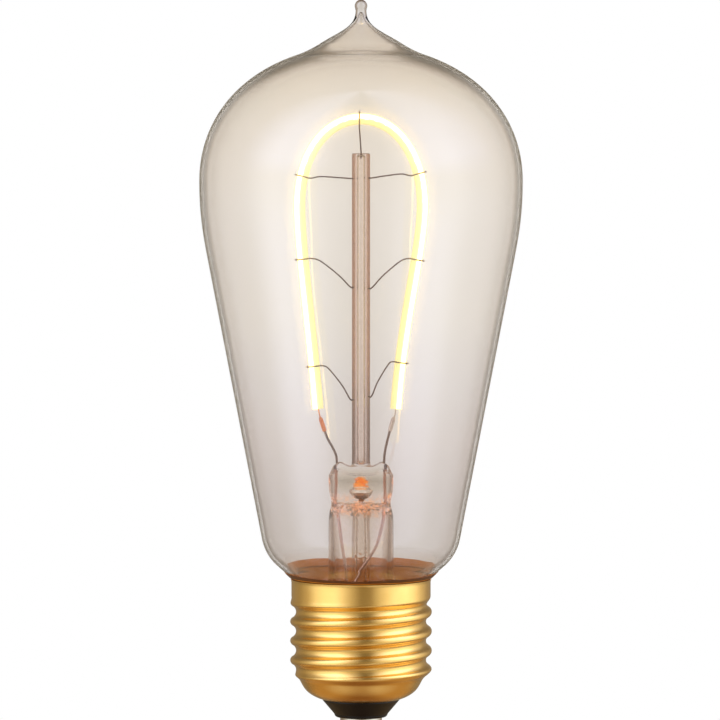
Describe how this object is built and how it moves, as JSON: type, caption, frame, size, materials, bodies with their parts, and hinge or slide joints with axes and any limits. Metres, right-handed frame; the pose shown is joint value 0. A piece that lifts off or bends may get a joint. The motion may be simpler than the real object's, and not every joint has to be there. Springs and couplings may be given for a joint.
{
  "type": "led filament bulb",
  "caption": "Pear-shaped clear glass LED filament bulb with a drawn pip, a lit loop filament on a glass rod stem and a brass screw cap.",
  "frame": {"origin": "on the lamp's axis, at the flat underside of the centre contact, where it meets the contact of a lampholder", "axes": "+Z along the lamp's axis from the contact to the pip of the glass; the filament loop lies in the XZ plane; the picture looks along +Y"},
  "size_m": [0.06, 0.06, 0.135],
  "materials": {
    "envelope_glass": "clear blown soda-lime glass, polished",
    "stem_glass": "clear lead glass, fire polished",
    "support_wire": "bright drawn molybdenum wire",
    "phosphor_chip_side": "phosphor silicone, lit, brightest side",
    "phosphor_back": "phosphor silicone, lit, back of the strip",
    "flexible_base": "copper-plated polyimide strip",
    "led_chip": "bare LED die",
    "copper": "bright copper",
    "nickel_wire": "nickel-plated iron wire",
    "copper_clad_wire": "borated copper-clad wire, red-brown",
    "cap_brass": "pressed brass sheet, polished",
    "black_glass": "black vitreous insulator, glossy",
    "tinned_contact": "tinned brass eyelet",
    "solder": "soft solder, satin",
    "basing_cement": "brown phenolic cement",
    "sleeve_plastic": "white moulded plastic",
    "circuit_board": "green solder mask on glass epoxy",
    "chip_package": "black epoxy package",
    "capacitor_sleeve": "dark blue shrink sleeve",
    "ferrite": "ferrite core",
    "winding_copper": "enamelled copper wire",
    "resistor_coat": "blue-green flameproof coating"
  },
  "bodies": {
    "root": {"glass_envelope": "envelope_glass", "stem_flare": "stem_glass", "exhaust_tube": "stem_glass", "centre_rod": "stem_glass", "top_support_wire": "support_wire", "upper_left_support_wire": "support_wire", "upper_right_support_wire": "support_wire", "middle_left_support_wire": "support_wire", "middle_right_support_wire": "support_wire", "lower_left_support_wire": "support_wire", "lower_right_support_wire": "support_wire", "filament_outer_phosphor": "phosphor_chip_side", "filament_inner_phosphor": "phosphor_back", "filament_base": "flexible_base", "led_chips": "led_chip", "filament_tab_left": "copper", "filament_tab_right": "copper", "lead_wire_left": "nickel_wire", "lead_wire_right": "nickel_wire", "seal_wire_left": "copper_clad_wire", "seal_wire_right": "copper_clad_wire", "tail_wire_left": "copper", "tail_wire_right": "copper", "screw_shell": "cap_brass", "cap_insulator": "black_glass", "centre_contact": "tinned_contact", "contact_solder": "solder", "basing_cement": "basing_cement", "insulating_sleeve": "sleeve_plastic", "driver_board": "circuit_board", "board_solder": "solder", "bridge_rectifier": "chip_package", "driver_chip": "chip_package", "smoothing_capacitor": "capacitor_sleeve", "inductor": "ferrite", "inductor_winding": "winding_copper", "fusible_resistor": "resistor_coat", "chip_resistors": "chip_package", "contact_lead": "copper", "shell_lead": "copper"}
  },
  "joints": []
}
